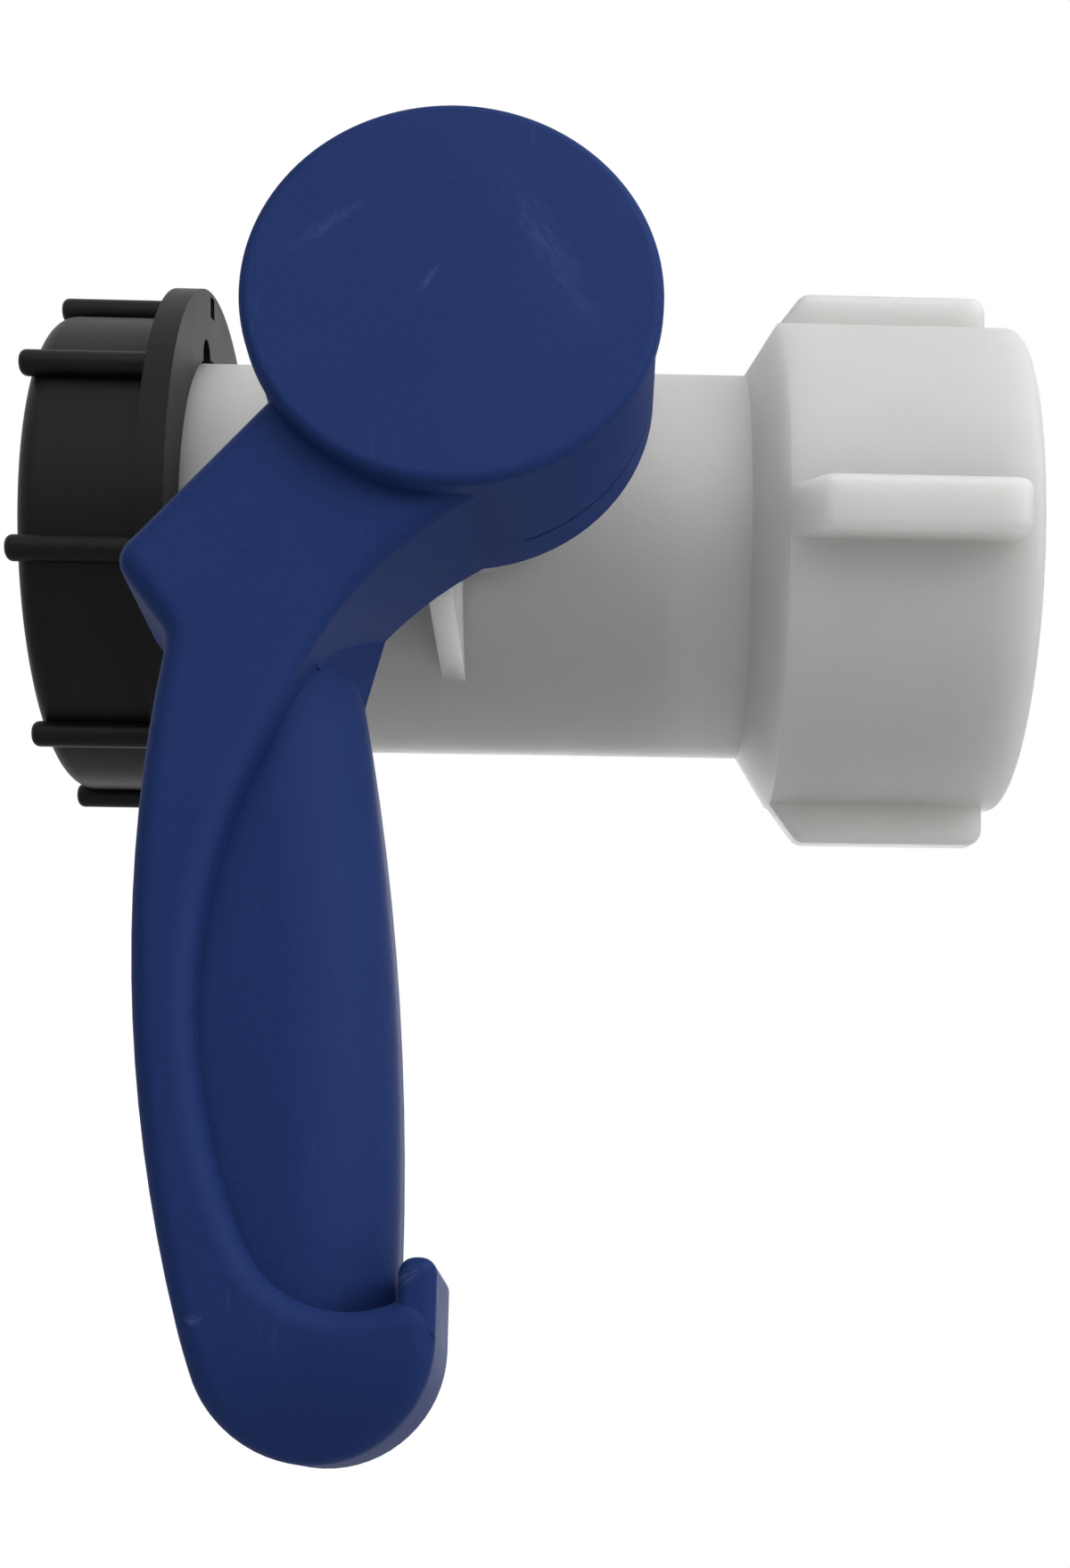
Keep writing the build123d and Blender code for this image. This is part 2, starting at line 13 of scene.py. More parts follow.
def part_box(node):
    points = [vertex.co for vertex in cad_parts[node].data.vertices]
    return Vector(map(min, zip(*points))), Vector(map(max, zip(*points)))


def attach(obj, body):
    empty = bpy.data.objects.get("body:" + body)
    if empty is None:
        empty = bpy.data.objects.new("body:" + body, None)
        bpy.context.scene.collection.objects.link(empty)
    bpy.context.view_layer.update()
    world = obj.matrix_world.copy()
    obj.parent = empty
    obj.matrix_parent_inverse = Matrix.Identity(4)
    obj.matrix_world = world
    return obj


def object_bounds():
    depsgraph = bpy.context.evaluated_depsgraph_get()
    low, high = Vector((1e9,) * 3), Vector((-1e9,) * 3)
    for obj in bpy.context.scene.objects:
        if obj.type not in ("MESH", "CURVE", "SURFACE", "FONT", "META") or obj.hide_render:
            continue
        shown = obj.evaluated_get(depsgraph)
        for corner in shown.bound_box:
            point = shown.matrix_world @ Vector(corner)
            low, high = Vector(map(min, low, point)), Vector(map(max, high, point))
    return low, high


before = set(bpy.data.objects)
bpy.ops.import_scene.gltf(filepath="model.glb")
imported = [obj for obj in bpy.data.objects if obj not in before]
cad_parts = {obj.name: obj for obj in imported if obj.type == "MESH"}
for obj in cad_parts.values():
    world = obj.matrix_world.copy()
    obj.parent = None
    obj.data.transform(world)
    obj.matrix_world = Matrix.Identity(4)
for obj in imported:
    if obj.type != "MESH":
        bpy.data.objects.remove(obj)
CAD_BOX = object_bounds()

LOG = logging.getLogger("valve")
MM = 0.001
TURN = 2.0 * math.pi
PHOTO_WIDTH = 1200
PHOTO_HEIGHT = 1758
SENSOR = 36.0

PLASTIC_IOR = 1.5
SCATTER_RADIUS = (1.0, 1.0, 0.95)
GRAIN_STRENGTH = 0.6
WORN_ROUGHNESS = 0.2
TONE_ENDS = (0.2, 0.8)
WHITE = (1.0, 1.0, 1.0, 1.0)

Colour = tuple[float, float, float]
Place = tuple[float, float, float]


class RidgeSide(Enum):
    """Way in which a thread ridge stands out of its wall."""

    INWARD = -1.0
    OUTWARD = 1.0


class SocketKind(Enum):
    """Kinds of sockets that the shader groups use."""

    VALUE = "NodeSocketFloat"
    VECTOR = "NodeSocketVector"


class NodeSheet:
    """A node tree with short calls to add nodes and join their sockets."""

    def __init__(self, tree: bpy.types.NodeTree) -> None:
        """Keep the tree.

        Args:
            tree: The node tree to draw on.
        """
        self.tree = tree

    def node(self, kind: str, **settings: object) -> bpy.types.Node:
        """Add a node.

        Args:
            kind: Blender's name of the node type.
            settings: Attributes of the node and their values.

        Returns:
            The new node.
        """
        made = self.tree.nodes.new(kind)
        for name, value in settings.items():
            setattr(made, name, value)
        return made

    def join(self, source: bpy.types.NodeSocket, target: bpy.types.NodeSocket) -> None:
        """Link one output to one input."""
        self.tree.links.new(source, target)

    def noise(
        self,
        vector: bpy.types.NodeSocket,
        scale: float,
        detail: float = 3.0,
        roughness: float = 0.55,
    ) -> bpy.types.NodeSocket:
        """Add a noise texture.

        Args:
            vector: Socket with the place on the surface.
            scale: Features per unit of that place.
            detail: Octaves of finer noise.
            roughness: Weight of the finer octaves.

        Returns:
            The noise value's socket.
        """
        texture = self.node("ShaderNodeTexNoise")
        texture.inputs["Scale"].default_value = scale
        texture.inputs["Detail"].default_value = detail
        texture.inputs["Roughness"].default_value = roughness
        self.join(vector, texture.inputs["Vector"])
        return texture.outputs["Fac"]

    def math(
        self,
        operation: str,
        first: bpy.types.NodeSocket | float,
        second: bpy.types.NodeSocket | float,
        clamp: bool = False,
    ) -> bpy.types.NodeSocket:
        """Add a math node.

        Args:
            operation: Blender's name of the operation.
            first: First socket or number.
            second: Second socket or number.
            clamp: Whether the result stays between 0 and 1.

        Returns:
            The result's socket.
        """
        made = self.node("ShaderNodeMath", operation=operation, use_clamp=clamp)
        for index, value in enumerate((first, second)):
            if isinstance(value, (int, float)):
                made.inputs[index].default_value = value
            else:
                self.join(value, made.inputs[index])
        return made.outputs[0]

    def spread(
        self,
        value: bpy.types.NodeSocket,
        low: float,
        high: float,
        to_low: float = 0.0,
        to_high: float = 1.0,
    ) -> bpy.types.NodeSocket:
        """Map a value from one range to another, clamped.

        Args:
            value: Socket with the value.
            low: Value that becomes to_low.
            high: Value that becomes to_high.
            to_low: Result at the low value.
            to_high: Result at the high value.

        Returns:
            The result's socket.
        """
        made = self.node("ShaderNodeMapRange", clamp=True)
        self.join(value, made.inputs["Value"])
        made.inputs["From Min"].default_value = low
        made.inputs["From Max"].default_value = high
        made.inputs["To Min"].default_value = to_low
        made.inputs["To Max"].default_value = to_high
        return made.outputs["Result"]

    def blend(
        self,
        factor: bpy.types.NodeSocket,
        first: bpy.types.NodeSocket | Colour,
        second: bpy.types.NodeSocket | Colour,
    ) -> bpy.types.NodeSocket:
        """Mix two colours.

        Args:
            factor: Socket with the share of the second colour.
            first: First colour or its socket.
            second: Second colour or its socket.

        Returns:
            The mixed colour's socket.
        """
        made = self.node("ShaderNodeMix", data_type="RGBA")
        self.join(factor, made.inputs["Factor"])
        for name, value in (("A", first), ("B", second)):
            sockets = [s for s in made.inputs if s.name == name and s.type == "RGBA"]
            if isinstance(value, tuple):
                sockets[0].default_value = (*value, 1.0)
            else:
                self.join(value, sockets[0])
        return [s for s in made.outputs if s.type == "RGBA"][0]


class SurfaceGroups:
    """Shader groups that several finishes share.

    Scales are in features per metre, but the rub mark's is in features per half size. A range holds
    the noise values between which a mask rises from 0 to 1.
    """

    GRAIN_SCALE = 900.0
    FINE_GRAIN_SCALE = 3200.0
    FINE_GRAIN_SHARE = 0.33
    MOTTLE_SCALE = 38.0
    MIDDLE_TONE = 0.5
    SCUFF_TURN = (0.3, 0.7, 0.4)
    SCUFF_STRETCH = (1.0, 0.16, 0.12)
    SCUFF_SCALE = 900.0
    SCUFF_RANGE = (0.62, 0.80)
    PATCH_SCALE = 55.0
    PATCH_RANGE = (0.56, 0.74)
    RUB_CORE = 0.15
    RUB_SCALE = 2.6
    RUB_RANGE = (0.40, 0.66)

    def __init__(self) -> None:
        """Build every group once."""
        self.grain = self._grain()
        self.mottle = self._mottle()
        self.scuffs = self._scuffs()
        self.rub = self._rub()

    @staticmethod
    def _sheet(
        name: str,
        inputs: dict[str, SocketKind],
        outputs: dict[str, SocketKind],
    ) -> tuple[NodeSheet, bpy.types.Node, bpy.types.Node]:
        """Start a group.

        Args:
            name: The group's name.
            inputs: Names and kinds of its inputs.
            outputs: Names and kinds of its outputs.

        Returns:
            The sheet, the input node and the output node.
        """
        tree = bpy.data.node_groups.new(name, "ShaderNodeTree")
        for label, kind in inputs.items():
            tree.interface.new_socket(name=label, in_out="INPUT", socket_type=kind.value)
        for label, kind in outputs.items():
            tree.interface.new_socket(name=label, in_out="OUTPUT", socket_type=kind.value)
        sheet = NodeSheet(tree)
        return sheet, sheet.node("NodeGroupInput"), sheet.node("NodeGroupOutput")

    def _grain(self) -> bpy.types.NodeTree:
        """Fine grain of a spark-eroded mould: two noises, the finer one at a third of the height.

        Returns:
            The group.
        """
        sheet, start, end = self._sheet(
            "moulded_grain",
            {"Vector": SocketKind.VECTOR, "Depth": SocketKind.VALUE},
            {"Height": SocketKind.VALUE},
        )
        coarse = sheet.noise(start.outputs["Vector"], self.GRAIN_SCALE, detail=2.0)
        fine = sheet.noise(start.outputs["Vector"], self.FINE_GRAIN_SCALE, detail=2.0)
        total = sheet.math("ADD", coarse, sheet.math("MULTIPLY", fine, self.FINE_GRAIN_SHARE))
        sheet.join(sheet.math("MULTIPLY", total, start.outputs["Depth"]), end.inputs["Height"])
        return sheet.tree

    def _mottle(self) -> bpy.types.NodeTree:
        """Slow change of tone over a moulding: one broad noise, spread about its middle.

        Returns:
            The group.
        """
        sheet, start, end = self._sheet(
            "tone_mottle",
            {"Vector": SocketKind.VECTOR, "Contrast": SocketKind.VALUE},
            {"Tone": SocketKind.VALUE},
        )
        broad = sheet.noise(start.outputs["Vector"], self.MOTTLE_SCALE, detail=4.0, roughness=0.6)
        centred = sheet.math("SUBTRACT", broad, self.MIDDLE_TONE)
        scaled = sheet.math("MULTIPLY", centred, start.outputs["Contrast"])
        sheet.join(sheet.math("ADD", scaled, self.MIDDLE_TONE, clamp=True), end.inputs["Tone"])
        return sheet.tree

    def _scuffs(self) -> bpy.types.NodeTree:
        """Short pale scratches: noise stretched along one way, kept where a patch noise is high.

        Returns:
            The group.
        """
        sheet, start, end = self._sheet(
            "handling_scuffs",
            {"Vector": SocketKind.VECTOR, "Amount": SocketKind.VALUE},
            {"Mask": SocketKind.VALUE},
        )
        stretch = sheet.node("ShaderNodeMapping")
        stretch.inputs["Rotation"].default_value = self.SCUFF_TURN
        stretch.inputs["Scale"].default_value = self.SCUFF_STRETCH
        sheet.join(start.outputs["Vector"], stretch.inputs["Vector"])
        lines = sheet.noise(stretch.outputs["Vector"], self.SCUFF_SCALE)
        streak = sheet.spread(lines, *self.SCUFF_RANGE)
        areas = sheet.noise(start.outputs["Vector"], self.PATCH_SCALE, detail=2.0)
        patch = sheet.spread(areas, *self.PATCH_RANGE)
        both = sheet.math("MULTIPLY", streak, patch)
        mask = sheet.math("MULTIPLY", both, start.outputs["Amount"], clamp=True)
        sheet.join(mask, end.inputs["Mask"])
        return sheet.tree

    def _rub(self) -> bpy.types.NodeTree:
        """One rub mark: a soft ellipse round its centre, broken up by noise stretched along it.

        The place is taken from the centre, turned and divided by the half sizes. The mask falls from 1
        in the mark's core to 0 where the length of that vector reaches 1, and is cut by the noise.

        Returns:
            The group.
        """
        sheet, start, end = self._sheet(
            "rub_mark",
            {
                "Vector": SocketKind.VECTOR,
                "Centre": SocketKind.VECTOR,
                "Turn": SocketKind.VECTOR,
                "Half Size": SocketKind.VECTOR,
                "Amount": SocketKind.VALUE,
            },
            {"Mask": SocketKind.VALUE},
        )
        place = sheet.node("ShaderNodeMapping", vector_type="TEXTURE")
        pairs = {"Vector": "Vector", "Centre": "Location", "Turn": "Rotation", "Half Size": "Scale"}
        for label, socket in pairs.items():
            sheet.join(start.outputs[label], place.inputs[socket])
        length = sheet.node("ShaderNodeVectorMath", operation="LENGTH")
        sheet.join(place.outputs["Vector"], length.inputs[0])
        body = sheet.spread(length.outputs["Value"], self.RUB_CORE, 1.0, to_low=1.0, to_high=0.0)
        gaps = sheet.noise(place.outputs["Vector"], self.RUB_SCALE, detail=5.0, roughness=0.75)
        broken = sheet.math("MULTIPLY", body, sheet.spread(gaps, *self.RUB_RANGE))
        mask = sheet.math("MULTIPLY", broken, start.outputs["Amount"], clamp=True)
        sheet.join(mask, end.inputs["Mask"])
        return sheet.tree


@dataclass(frozen=True)
class RubMark:
    """A faint mark left by handling.

    Its centre, from the part's origin, and its half sizes are in millimetres, and its turn about the
    Y axis is in degrees.
    """

    centre: Place
    half_size: Place
    turn: float
    amount: float


@dataclass(frozen=True)
class MouldedPlastic:
    """Finish of an injection-moulded plastic piece."""

    name: str
    colour: Colour
    deep_colour: Colour
    scuff_colour: Colour
    roughness: float
    roughness_spread: float
    grain_depth: float
    contrast: float
    scuffs: float
    specular: float = 0.5
    subsurface: float = 0.0
    subsurface_depth: float = 4.0 * MM
    marks: tuple[RubMark, ...] = ()

    def material(self, groups: SurfaceGroups) -> bpy.types.Material:
        """Build the finish.

        Args:
            groups: The shared shader groups.

        Returns:
            The material.
        """
        made = bpy.data.materials.new(self.name)
        made.use_nodes = True
        sheet = NodeSheet(made.node_tree)
        shader = made.node_tree.nodes["Principled BSDF"]
        place = sheet.node("ShaderNodeTexCoord").outputs["Object"]
        mottle = self._group(sheet, groups.mottle, place, "Contrast", self.contrast)
        scuff = self._group(sheet, groups.scuffs, place, "Amount", self.scuffs)
        grain = self._group(sheet, groups.grain, place, "Depth", self.grain_depth)
        worn = scuff.outputs["Mask"]
        for mark in self.marks:
            worn = sheet.math("MAXIMUM", worn, self._mark(sheet, groups, place, mark))
        tone = sheet.blend(mottle.outputs["Tone"], self.deep_colour, self.colour)
        sheet.join(sheet.blend(worn, tone, self.scuff_colour), shader.inputs["Base Color"])
        low = self.roughness - self.roughness_spread
        high = self.roughness + self.roughness_spread
        gloss = sheet.spread(mottle.outputs["Tone"], *TONE_ENDS, high, low)
        dull = sheet.math("MULTIPLY", worn, WORN_ROUGHNESS)
        sheet.join(sheet.math("ADD", gloss, dull), shader.inputs["Roughness"])
        bump = sheet.node("ShaderNodeBump")
        bump.inputs["Strength"].default_value = GRAIN_STRENGTH
        bump.inputs["Distance"].default_value = 1.0
        sheet.join(grain.outputs["Height"], bump.inputs["Height"])
        sheet.join(bump.outputs["Normal"], shader.inputs["Normal"])
        shader.inputs["Specular IOR Level"].default_value = self.specular
        shader.inputs["IOR"].default_value = PLASTIC_IOR
        shader.inputs["Subsurface Weight"].default_value = self.subsurface
        shader.inputs["Subsurface Radius"].default_value = SCATTER_RADIUS
        shader.inputs["Subsurface Scale"].default_value = self.subsurface_depth
        return made

    @staticmethod
    def _mark(
        sheet: NodeSheet,
        groups: SurfaceGroups,
        place: bpy.types.NodeSocket,
        mark: RubMark,
    ) -> bpy.types.NodeSocket:
        """Place one rub mark.

        Args:
            sheet: The material's sheet.
            groups: The shared shader groups.
            place: Socket with the place on the surface.
            mark: The mark.

        Returns:
            The mark's mask.
        """
        made = sheet.node("ShaderNodeGroup", node_tree=groups.rub)
        sheet.join(place, made.inputs["Vector"])
        made.inputs["Centre"].default_value = [MM * part for part in mark.centre]
        made.inputs["Turn"].default_value = (0.0, math.radians(mark.turn), 0.0)
        made.inputs["Half Size"].default_value = [MM * part for part in mark.half_size]
        made.inputs["Amount"].default_value = mark.amount
        return made.outputs["Mask"]

    @staticmethod
    def _group(
        sheet: NodeSheet,
        tree: bpy.types.NodeTree,
        place: bpy.types.NodeSocket,
        label: str,
        value: float,
    ) -> bpy.types.Node:
        """Place a shared group with its own value.

        Args:
            sheet: The material's sheet.
            tree: The group.
            place: Socket with the place on the surface.
            label: Name of the group's value input.
            value: The value.

        Returns:
            The group's node.
        """
        made = sheet.node("ShaderNodeGroup", node_tree=tree)
        sheet.join(place, made.inputs["Vector"])
        made.inputs[label].default_value = value
        return made


@dataclass(frozen=True)
class PlainMetal:
    """Finish of a small turned steel piece."""

    name: str
    colour: Colour
    roughness: float
    roughness_spread: float = 0.08
    contrast: float = 1.4
    dark_share: float = 0.8

    def material(self, groups: SurfaceGroups) -> bpy.types.Material:
        """Build the finish.

        Args:
            groups: The shared shader groups.

        Returns:
            The material.
        """
        made = bpy.data.materials.new(self.name)
        made.use_nodes = True
        sheet = NodeSheet(made.node_tree)
        shader = made.node_tree.nodes["Principled BSDF"]
        place = sheet.node("ShaderNodeTexCoord").outputs["Object"]
        mottle = sheet.node("ShaderNodeGroup", node_tree=groups.mottle)
        mottle.inputs["Contrast"].default_value = self.contrast
        sheet.join(place, mottle.inputs["Vector"])
        darker = tuple(self.dark_share * part for part in self.colour)
        tone = sheet.blend(mottle.outputs["Tone"], darker, self.colour)
        sheet.join(tone, shader.inputs["Base Color"])
        dull = self.roughness + self.roughness_spread
        gloss = sheet.spread(mottle.outputs["Tone"], *TONE_ENDS, dull, self.roughness)
        sheet.join(gloss, shader.inputs["Roughness"])
        shader.inputs["Metallic"].default_value = 1.0
        return made


NATURAL_PLASTIC = MouldedPlastic(
    name="natural_plastic_satin",
    colour=(0.56, 0.56, 0.55),
    deep_colour=(0.50, 0.50, 0.49),
    scuff_colour=(0.64, 0.64, 0.63),
    roughness=0.45,
    roughness_spread=0.06,
    grain_depth=0.07 * MM,
    contrast=1.2,
    scuffs=0.25,
    specular=0.25,
    subsurface=1.0,
    subsurface_depth=28.0 * MM,
)
COVER_MARKS = (
    RubMark(centre=(-86.0, -78.8, 1.0), half_size=(3.0, 4.0, 0.7), turn=-58.0, amount=0.5),
    RubMark(centre=(-98.5, -78.8, 8.5), half_size=(7.0, 4.0, 1.2), turn=-38.0, amount=0.35),
    RubMark(centre=(-71.0, -78.8, 6.0), half_size=(15.0, 4.0, 2.8), turn=62.0, amount=0.25),
)
BULB_MARKS = (
    RubMark(centre=(-86.0, -76.0, -122.5), half_size=(5.5, 3.0, 1.0), turn=-30.0, amount=0.7),
    RubMark(centre=(-108.5, -76.0, -127.0), half_size=(1.2, 3.0, 0.8), turn=0.0, amount=0.8),
)
BLUE_PLASTIC = MouldedPlastic(
    name="blue_lever_plastic",
    colour=(0.015, 0.035, 0.139),
    deep_colour=(0.013, 0.029, 0.119),
    scuff_colour=(0.09, 0.13, 0.27),
    roughness=0.56,
    roughness_spread=0.05,
    grain_depth=0.12 * MM,
    contrast=1.2,
    scuffs=0.35,
    specular=0.05,
    marks=COVER_MARKS + BULB_MARKS,
)
BLACK_PLASTIC = MouldedPlastic(
    name="black_cap_plastic",
    colour=(0.0060, 0.0060, 0.0062),
    deep_colour=(0.004, 0.004, 0.004),
    scuff_colour=(0.03, 0.03, 0.03),
    roughness=0.46,
    roughness_spread=0.05,
    grain_depth=0.04 * MM,
    contrast=1.2,
    scuffs=0.3,
    specular=0.12,
)
WHITE_PLASTIC = MouldedPlastic(
    name="white_seat_plastic",
    colour=(0.84, 0.84, 0.82),
    deep_colour=(0.80, 0.80, 0.78),
    scuff_colour=(0.70, 0.70, 0.68),
    roughness=0.28,
    roughness_spread=0.05,
    grain_depth=0.01 * MM,
    contrast=1.0,
    scuffs=0.2,
)
SEAL_RUBBER = MouldedPlastic(
    name="black_seal_rubber",
    colour=(0.020, 0.020, 0.021),
    deep_colour=(0.013, 0.013, 0.014),
    scuff_colour=(0.05, 0.05, 0.05),
    roughness=0.62,
    roughness_spread=0.06,
    grain_depth=0.05 * MM,
    contrast=1.5,
    scuffs=0.2,
    specular=0.3,
)
SCREW_STEEL = PlainMetal(name="plain_screw_steel", colour=(0.60, 0.60, 0.61), roughness=0.32)


class Finishes:
    """The valve's finishes, one material each."""

    def __init__(self, groups: SurfaceGroups) -> None:
        """Build the materials.

        Args:
            groups: The shared shader groups.
        """
        self.natural = NATURAL_PLASTIC.material(groups)
        self.blue = BLUE_PLASTIC.material(groups)
        self.black = BLACK_PLASTIC.material(groups)
        self.white = WHITE_PLASTIC.material(groups)
        self.rubber = SEAL_RUBBER.material(groups)
        self.steel = SCREW_STEEL.material(groups)


def dress(node: str, material: bpy.types.Material) -> None:
    """Give every material slot of a solid one material.

    Args:
        node: The solid's name.
        material: The material.
    """
    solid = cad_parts[node]
    if not solid.material_slots:
        solid.data.materials.append(material)
    for slot in solid.material_slots:
        slot.material = material
    LOG.info("dressed %s with %s", node, material.name)


def mesh_piece(
    name: str,
    points: np.ndarray,
    faces: np.ndarray,
    material: bpy.types.Material,
) -> bpy.types.Object:
    """Make an object of quads, smooth-shaded, at the origin.

    Args:
        name: The piece's name.
        points: Places of its vertices, one row each.
        faces: Vertex numbers of its quads, one row each.
        material: Its material.

    Returns:
        The object.
    """
    mesh = bpy.data.meshes.new(name)
    mesh.from_pydata(points.tolist(), [], faces.tolist())
    mesh.polygons.foreach_set("use_smooth", np.ones(len(faces), dtype=bool))
    mesh.update()
    made = bpy.data.objects.new(name, mesh)
    bpy.context.scene.collection.objects.link(made)
    made.data.materials.append(material)
    return made


def smooth_step(share: np.ndarray) -> np.ndarray:
    """Ease shares between 0 and 1: three times the square, less twice the cube."""
    return share * share * (3.0 - 2.0 * share)


@dataclass
class ThreadRidge:
    """One helical thread ridge about the flow axis, right-handed."""

    name: str
    start: float
    end: float
    root: float
    side: RidgeSide
    phase: float = 0.0
    height: float = 2.3 * MM
    pitch: float = 6.0 * MM
    foot: float = 3.4 * MM
    crest: float = 1.5 * MM
    sunk: float = 0.15 * MM
    fade: float = 0.12
    steps: int = 72
    across: int = 13

    def surface(self) -> tuple[np.ndarray, np.ndarray]:
        """Carry a rounded ridge profile along a helix.

        Along the helix the angle grows, and the place on the axis is the start plus the pitch times the
        turns. Across the ridge a share runs from -1 to 1: the height is full up to the crest's half
        width and falls to the foot along a smooth step. Both ends fade into the wall over a share of a
        turn.

        Returns:
            The vertices and the quads.
        """
        turns = (self.end - self.start) / self.pitch
        along = np.linspace(0.0, turns, int(turns * self.steps))[:, None]
        across = np.linspace(-1.0, 1.0, self.across)[None, :]
        ends = np.clip(np.minimum(along, turns - along) / self.fade, 0.0, 1.0)
        fade = smooth_step(ends)
        flat = self.crest / self.foot
        ramp = np.clip((np.abs(across) - flat) / (1.0 - flat), 0.0, 1.0)
        rise = 1.0 - smooth_step(ramp)
        lift = (self.height + self.sunk) * rise * fade - self.sunk
        radius = self.root + self.side.value * lift
        angle = self.phase + TURN * along
        x = self.start + self.pitch * along + across * self.foot / 2.0 * np.ones_like(radius)
        grid = np.stack([x, radius * np.cos(angle), radius * np.sin(angle)], axis=2)
        rows, columns = radius.shape
        number = np.arange(rows * columns).reshape(rows, columns)
        wrapped = np.concatenate([number, number[:, :1]], axis=1)
        quads = np.stack(
            [wrapped[:-1, :-1], wrapped[:-1, 1:], wrapped[1:, 1:], wrapped[1:, :-1]], axis=2
        ).reshape(-1, 4)
        if self.side is RidgeSide.OUTWARD:
            quads = quads[:, ::-1]
        return grid.reshape(-1, 3), quads

    def build(self, material: bpy.types.Material) -> bpy.types.Object:
        """Make the ridge's object.

        Args:
            material: Its material.

        Returns:
            The object.
        """
        points, quads = self.surface()
        made = mesh_piece(self.name, points, quads, material)
        LOG.info("built %s with %d quads", self.name, len(quads))
        return made


@dataclass
class ValveBody:
    """Natural plastic body with its inlet and outlet threads."""

    finishes: Finishes
    inlet_root: float = 30.5 * MM
    inlet_depth: float = 24.0 * MM
    outlet_root: float = 27.6 * MM
    outlet_length: float = 15.2 * MM
    end_margin: float = 2.4 * MM

    def build(self) -> None:
        """Make the thread ridges of cup and neck, and fix them to the body."""
        low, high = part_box("valve_body")
        inlet = ThreadRidge(
            name="inlet_thread",
            start=high[0] - self.inlet_depth + self.end_margin,
            end=high[0] - self.end_margin,
            root=self.inlet_root,
            side=RidgeSide.INWARD,
        )
        outlet = ThreadRidge(
            name="outlet_thread",
            start=low[0] + self.end_margin,
            end=low[0] + self.outlet_length - self.end_margin,
            root=self.outlet_root,
            side=RidgeSide.OUTWARD,
        )
        for ridge in (inlet, outlet):
            piece = ridge.build(self.finishes.natural)
            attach(piece, "body")

    def dress(self) -> None:
        """Finish the body and its inner rings."""
        for node in ("valve_body", "seat_retainer"):
            dress(node, self.finishes.natural)
        for node in ("seat_ring_inlet", "seat_ring_outlet", "thrust_washer"):
            dress(node, self.finishes.white)
        for node in ("seat_oring_inlet", "seat_oring_outlet", "inlet_gasket"):
            dress(node, self.finishes.rubber)


@dataclass
class LeverSet:
    """Lever with its cover, screw and washer, and the stem and ball that turn with it."""

    finishes: Finishes

    def dress(self) -> None:
        """Finish everything that turns with the lever."""
        for node in ("lever", "hub_cover"):
            dress(node, self.finishes.blue)
        for node in ("ball", "stem"):
            dress(node, self.finishes.white)
        for node in ("stem_oring_lower", "stem_oring_upper"):
            dress(node, self.finishes.rubber)
        for node in ("lever_screw", "lever_washer"):
            dress(node, self.finishes.steel)


@dataclass
class OutletCap:
    """Black screw cap with its thread and gasket."""

    finishes: Finishes
    root: float = 30.6 * MM
    mouth_margin: float = 3.0 * MM
    gasket_margin: float = 2.0 * MM

    def build(self) -> None:
        """Make the cap's thread ridge, half a pitch from the neck's, and fix it to the cap."""
        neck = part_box("valve_body")[0][0]
        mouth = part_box("outlet_cap")[1][0]
        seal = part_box("cap_gasket")[1][0]
        start = seal + self.gasket_margin
        ridge = ThreadRidge(
            name="cap_thread",
            start=start,
            end=mouth - self.mouth_margin,
            root=self.root,
            side=RidgeSide.INWARD,
        )
        offset = (start - neck - ValveBody.end_margin) / ridge.pitch
        ridge.phase = TURN * (offset - 0.5)
        piece = ridge.build(self.finishes.black)
        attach(piece, "cap")

    def dress(self) -> None:
        """Finish the cap and its gasket."""
        dress("outlet_cap", self.finishes.black)
        dress("cap_gasket", self.finishes.rubber)


@dataclass(frozen=True)
class SoftLamp:
    """A square soft lamp: its place and its side in metres, and its power in watts."""

    name: str
    place: Place
    size: float
    power: float

    def hang(self, aim: Vector) -> None:
        """Hang the lamp so that it faces a point.

        Args:
            aim: The point.
        """
        data = bpy.data.lights.new(self.name, "AREA")
        data.size = self.size
        data.energy = self.power
        made = bpy.data.objects.new(self.name, data)
        made.location = self.place
        made.rotation_euler = (aim - Vector(self.place)).to_track_quat("-Z", "Y").to_euler()
        bpy.context.scene.collection.objects.link(made)


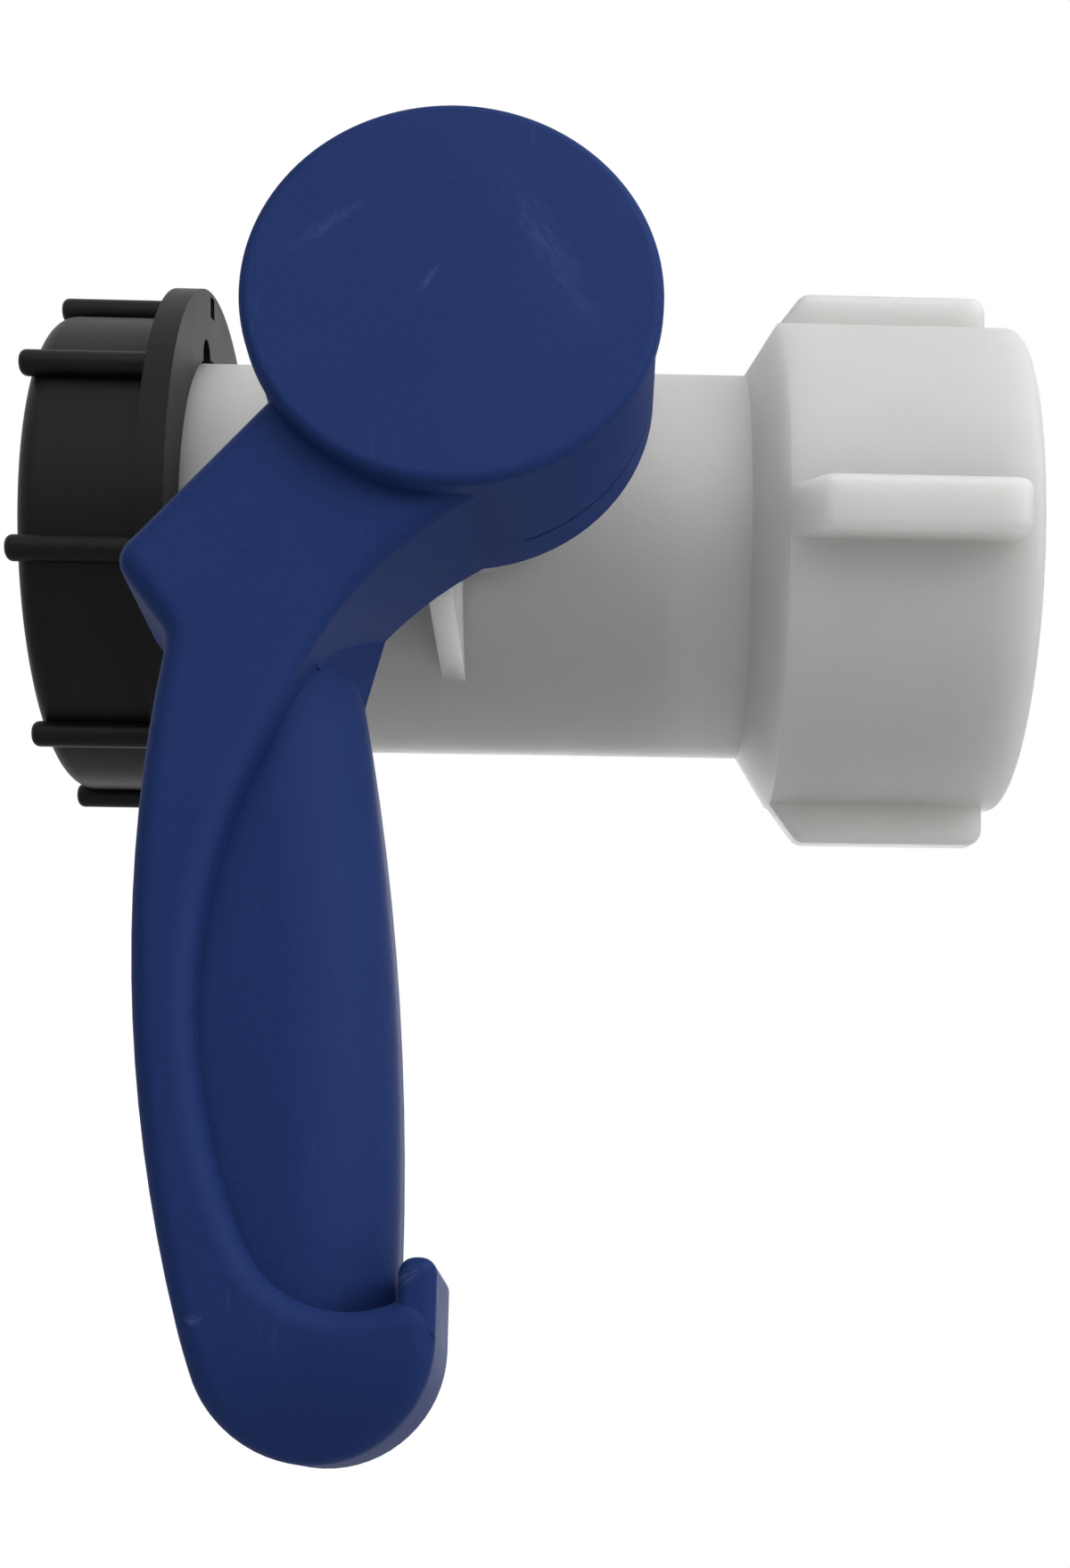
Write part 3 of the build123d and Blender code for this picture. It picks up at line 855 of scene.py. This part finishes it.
@dataclass
class Studio:
    """Camera, lamps, world and floor; the camera's turns are in degrees."""

    focal_pixels: float = 2371.0
    axis_pixel: tuple[float, float] = (756.0, 1139.0)
    eye: Place = (-64.0 * MM, -313.7 * MM, -148.2 * MM)
    pitch: float = 13.35
    yaw: float = -2.15
    roll: float = -0.16
    near_clip: float = 10.0 * MM
    soft_lamps: tuple[SoftLamp, ...] = (
        SoftLamp(name="top_lamp", place=(0.07, -0.29, 0.30), size=0.42, power=1.15),
        SoftLamp(name="front_lamp", place=(-0.20, -0.70, 0.30), size=0.50, power=1.1),
        SoftLamp(name="right_lamp", place=(0.50, -0.40, 0.18), size=0.30, power=2.0),
        SoftLamp(name="back_lamp", place=(-0.10, 0.70, 0.12), size=0.50, power=1.5),
    )
    world_light: float = 0.14
    floor_gap: float = 48.0 * MM
    floor_reach: float = 1.1
    floor_lift: float = 0.35
    floor_tone: float = 0.8
    floor_roughness: float = 0.9

    def camera(self) -> None:
        """Set the camera: the photograph's eye, turned by yaw, then pitch, then roll."""
        data = bpy.data.cameras.new("photo_camera")
        data.lens = self.focal_pixels * SENSOR / PHOTO_HEIGHT
        data.sensor_width = SENSOR
        data.shift_x = (PHOTO_WIDTH / 2.0 - self.axis_pixel[0]) / PHOTO_HEIGHT
        data.shift_y = (self.axis_pixel[1] - PHOTO_HEIGHT / 2.0) / PHOTO_HEIGHT
        data.clip_start = self.near_clip
        eye = bpy.data.objects.new("photo_camera", data)
        level = Matrix.Rotation(math.radians(90.0), 4, "X")
        turn = Matrix.Rotation(math.radians(self.yaw), 4, "Z")
        tilt = Matrix.Rotation(math.radians(self.pitch), 4, "X")
        bank = Matrix.Rotation(math.radians(self.roll), 4, "Y")
        eye.matrix_world = Matrix.Translation(self.eye) @ turn @ tilt @ bank @ level
        bpy.context.scene.collection.objects.link(eye)
        bpy.context.scene.camera = eye

    def lamps(self) -> None:
        """Hang the soft lamps, all facing the middle of the valve."""
        low, high = CAD_BOX
        middle = (Vector(low) + Vector(high)) / 2.0
        for lamp in self.soft_lamps:
            lamp.hang(middle)

    @staticmethod
    def seen(sheet: NodeSheet) -> bpy.types.NodeSocket:
        """Tell the rays that show a surface from those that light one.

        Args:
            sheet: The sheet of the world or of a stage material.

        Returns:
            A socket that is 1 for camera, mirror and glass rays, and 0 for the others.
        """
        path = sheet.node("ShaderNodeLightPath")
        camera = path.outputs["Is Camera Ray"]
        glass = path.outputs["Is Transmission Ray"]
        clear = sheet.math("MAXIMUM", camera, glass)
        return sheet.math("MAXIMUM", clear, path.outputs["Is Glossy Ray"])

    def world(self) -> None:
        """Light the object with a plain grey world that camera, mirror and glass rays see as white."""
        made = bpy.data.worlds.new("white_world")
        made.use_nodes = True
        bpy.context.scene.world = made
        sheet = NodeSheet(made.node_tree)
        background = made.node_tree.nodes["Background"]
        background.inputs["Color"].default_value = WHITE
        strength = sheet.spread(self.seen(sheet), 0.0, 1.0, self.world_light, 1.0)
        sheet.join(strength, background.inputs["Strength"])

    def floor(self) -> None:
        """Lay a pale floor below the valve; to the eye it is brighter than its light makes it."""
        level = CAD_BOX[0][2] - self.floor_gap
        corners = np.array([(-1.0, -1.0, 0.0), (1.0, -1.0, 0.0), (1.0, 1.0, 0.0), (-1.0, 1.0, 0.0)])
        points = corners * self.floor_reach + (0.0, 0.0, level)
        matt = bpy.data.materials.new("pale_floor")
        matt.use_nodes = True
        shader = matt.node_tree.nodes["Principled BSDF"]
        tone = self.floor_tone
        shader.inputs["Base Color"].default_value = (tone, tone, tone, 1.0)
        shader.inputs["Roughness"].default_value = self.floor_roughness
        shader.inputs["Emission Color"].default_value = WHITE
        sheet = NodeSheet(matt.node_tree)
        lift = sheet.math("MULTIPLY", self.seen(sheet), self.floor_lift)
        sheet.join(lift, shader.inputs["Emission Strength"])
        made = mesh_piece("floor", points, np.array([[0, 1, 2, 3]]), matt)

    def build(self) -> None:
        """Set up camera, lamps, world and floor."""
        bpy.context.scene.view_settings.view_transform = "Standard"
        self.camera()
        self.lamps()
        self.world()
        self.floor()


def main() -> None:
    """Build and dress the valve, then the studio round it."""
    logging.basicConfig(level=logging.INFO, format="%(name)s: %(message)s")
    finishes = Finishes(SurfaceGroups())
    body = ValveBody(finishes)
    body.build()
    body.dress()
    LeverSet(finishes).dress()
    cap = OutletCap(finishes)
    cap.build()
    cap.dress()
    Studio().build()


if __name__ == "__main__":
    main()
